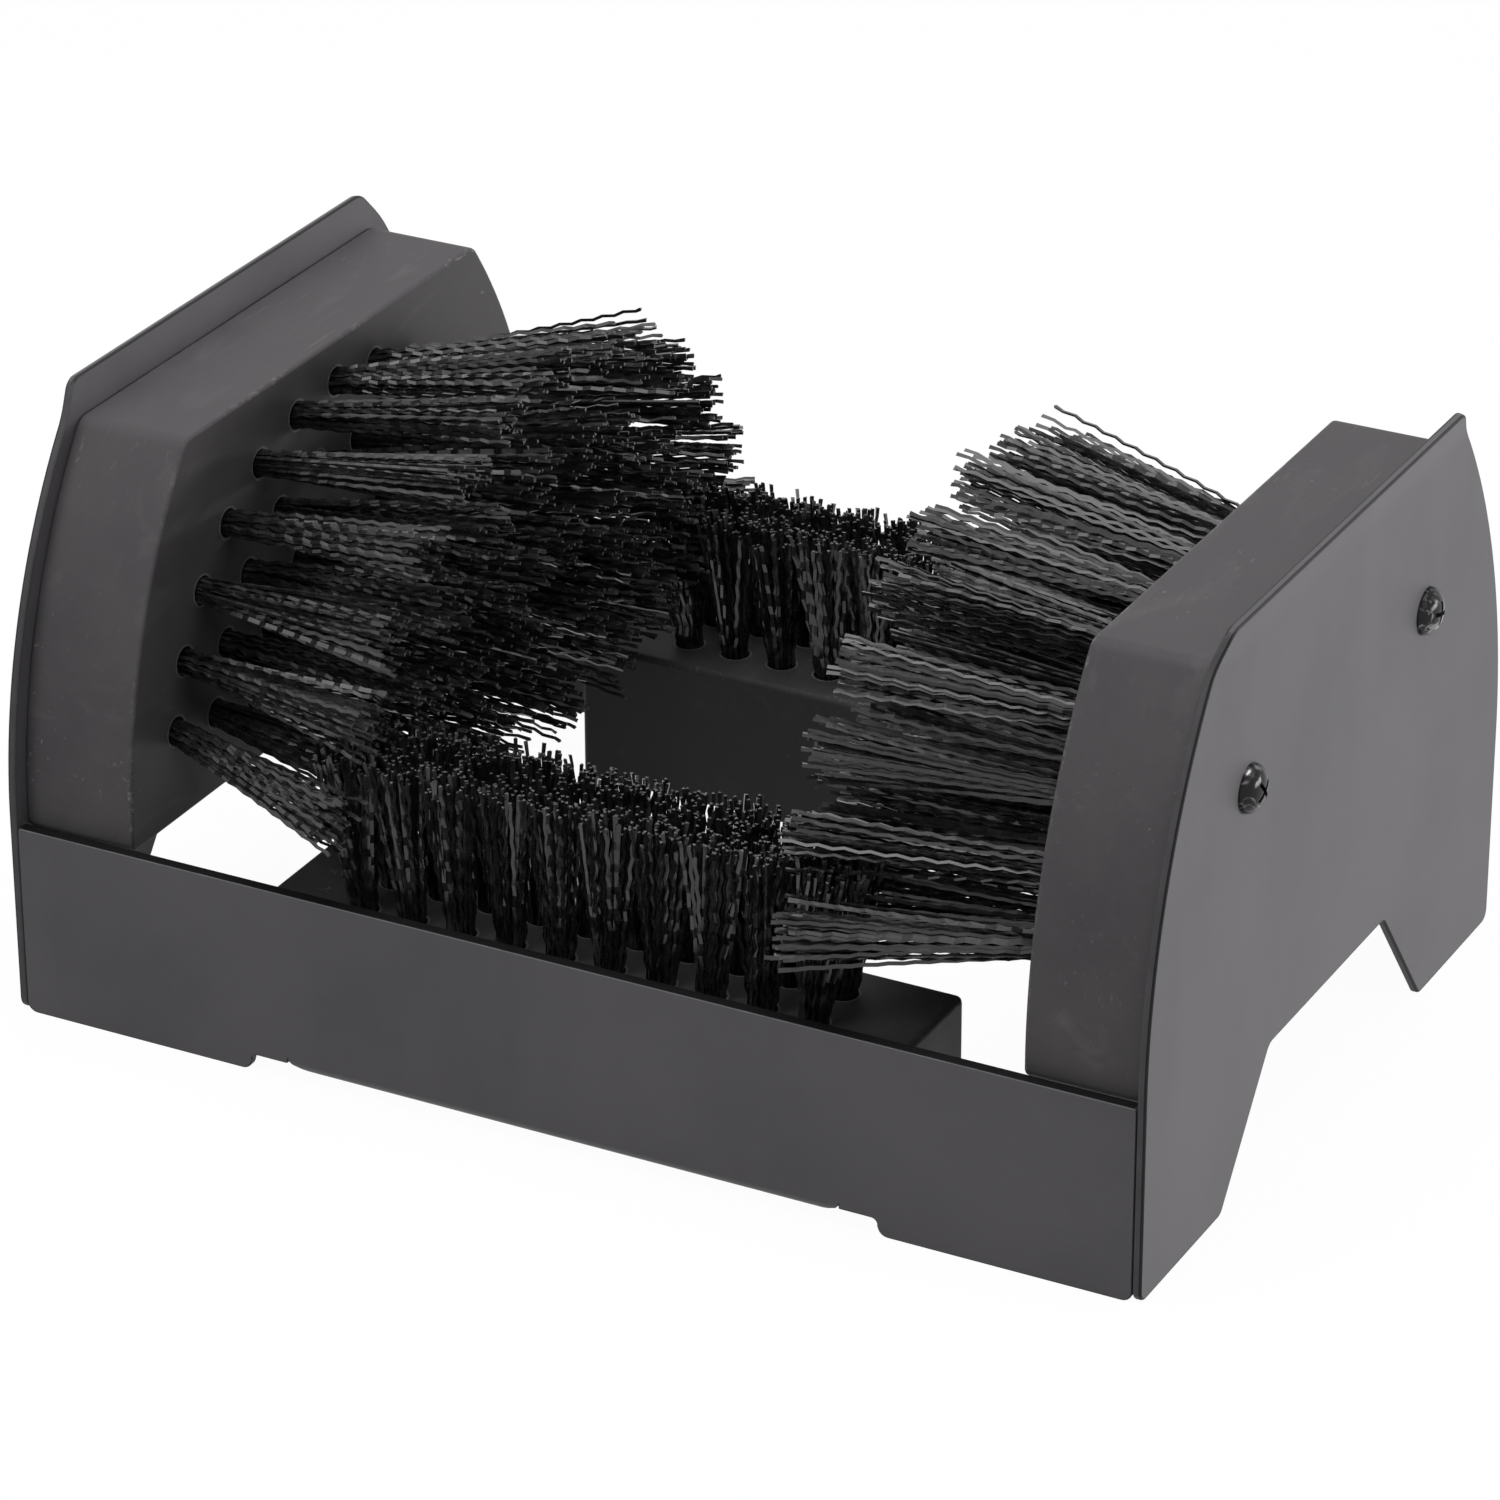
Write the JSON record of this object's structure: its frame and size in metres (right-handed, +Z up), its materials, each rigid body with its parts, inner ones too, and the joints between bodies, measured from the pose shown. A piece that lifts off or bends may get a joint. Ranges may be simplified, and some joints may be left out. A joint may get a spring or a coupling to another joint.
{
  "type": "boot scraper",
  "caption": "Free-standing sheet steel boot scraper with upright side brushes and floor brushes that clean a boot's sides and sole",
  "frame": {"origin": "middle of the bounding box on the floor, on the plane that the feet stand on", "axes": "+X runs along the frame from the left end plate to the right one, +Y from the front side plate to the rear one, +Z up"},
  "size_m": [0.3078, 0.208, 0.153],
  "materials": {
    "powder_coat": "satin dark grey powder coat with a fine texture",
    "weld_coat": "powder-coated weld bead",
    "painted_block": "hardwood painted matt charcoal, rubbed at the edges",
    "bristle": "crimped black plastic filament with a slight gloss",
    "staple_wire": "flat zinc-plated wire",
    "black_screw": "glossy black screw"
  },
  "bodies": {
    "root": {"left_end_plate": "powder_coat", "right_end_plate": "powder_coat", "front_side_plate": "powder_coat", "rear_side_plate": "powder_coat", "corner_welds": "weld_coat", "left_end_block": "painted_block", "right_end_block": "painted_block", "front_floor_block": "painted_block", "rear_floor_block": "painted_block", "left_end_bristles": "bristle", "right_end_bristles": "bristle", "front_floor_bristles": "bristle", "rear_floor_bristles": "bristle", "left_end_staples": "staple_wire", "right_end_staples": "staple_wire", "front_floor_staples": "staple_wire", "rear_floor_staples": "staple_wire", "left_end_screws": "black_screw", "right_end_screws": "black_screw", "front_floor_screws": "black_screw", "rear_floor_screws": "black_screw"}
  },
  "joints": []
}
